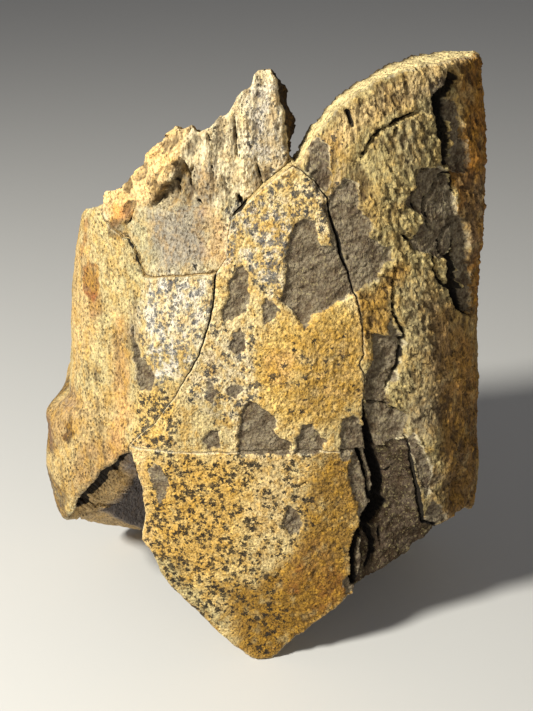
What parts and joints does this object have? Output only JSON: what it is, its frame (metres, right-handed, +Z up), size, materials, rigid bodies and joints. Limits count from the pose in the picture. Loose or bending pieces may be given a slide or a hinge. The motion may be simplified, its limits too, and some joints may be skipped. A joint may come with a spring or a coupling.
{
  "type": "tyrannosaur femur shaft fossil",
  "caption": "Broken length of a hollow fossil thigh bone shaft, refitted from fragments along open joints, standing upright on its lower break.",
  "frame": {"origin": "middle of the object's footprint, on the surface it stands on", "axes": "+Z up along the shaft, -Y towards the front face, +X to the right seen from the front"},
  "size_m": [0.192, 0.1176, 0.2566],
  "materials": {
    "cream_bone": "worn, slightly polished fossil bone",
    "pale_spalled_bone": "rough, splintered fossil bone",
    "yellow_bone": "worn fossil bone with black manganese dendrites",
    "ochre_bone": "worn fossil bone with black manganese dendrites",
    "grey_brown_bone": "rough spalled fossil bone",
    "khaki_bone": "rough weathered fossil bone"
  },
  "bodies": {
    "root": {"left_side_fragment": "cream_bone", "upper_left_fragment": "pale_spalled_bone", "middle_front_fragment": "yellow_bone", "lower_front_fragment": "ochre_bone", "lower_right_fragment": "grey_brown_bone", "right_side_fragment": "khaki_bone"}
  },
  "joints": []
}
